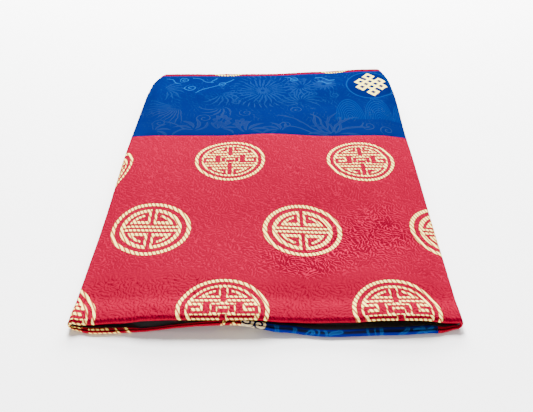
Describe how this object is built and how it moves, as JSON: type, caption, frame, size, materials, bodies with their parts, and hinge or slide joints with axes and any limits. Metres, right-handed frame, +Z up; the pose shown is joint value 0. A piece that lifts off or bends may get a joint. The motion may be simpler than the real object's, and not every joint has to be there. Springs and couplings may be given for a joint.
{
  "type": "brocade panel",
  "caption": "Folded brocade panel, red with cream long-life medallions and a blue band with an endless knot, lined in black and lying flat with its mouth open.",
  "frame": {"origin": "on the ground under the middle of the folded panel", "axes": "+X across the mouth to the right, +Y from the mouth to the back crest, +Z up"},
  "size_m": [0.2566, 0.3526, 0.0172],
  "materials": {
    "red_brocade": "satin ground with a fine raised maze weave and cream medallions",
    "blue_brocade": "satin ground with tone-on-tone scrolls and a cream knot",
    "black_lining": "matt plain weave"
  },
  "bodies": {
    "root": {"red_front": "red_brocade", "blue_under": "blue_brocade", "blue_band": "blue_brocade", "red_back": "red_brocade", "lining": "black_lining"}
  },
  "joints": []
}
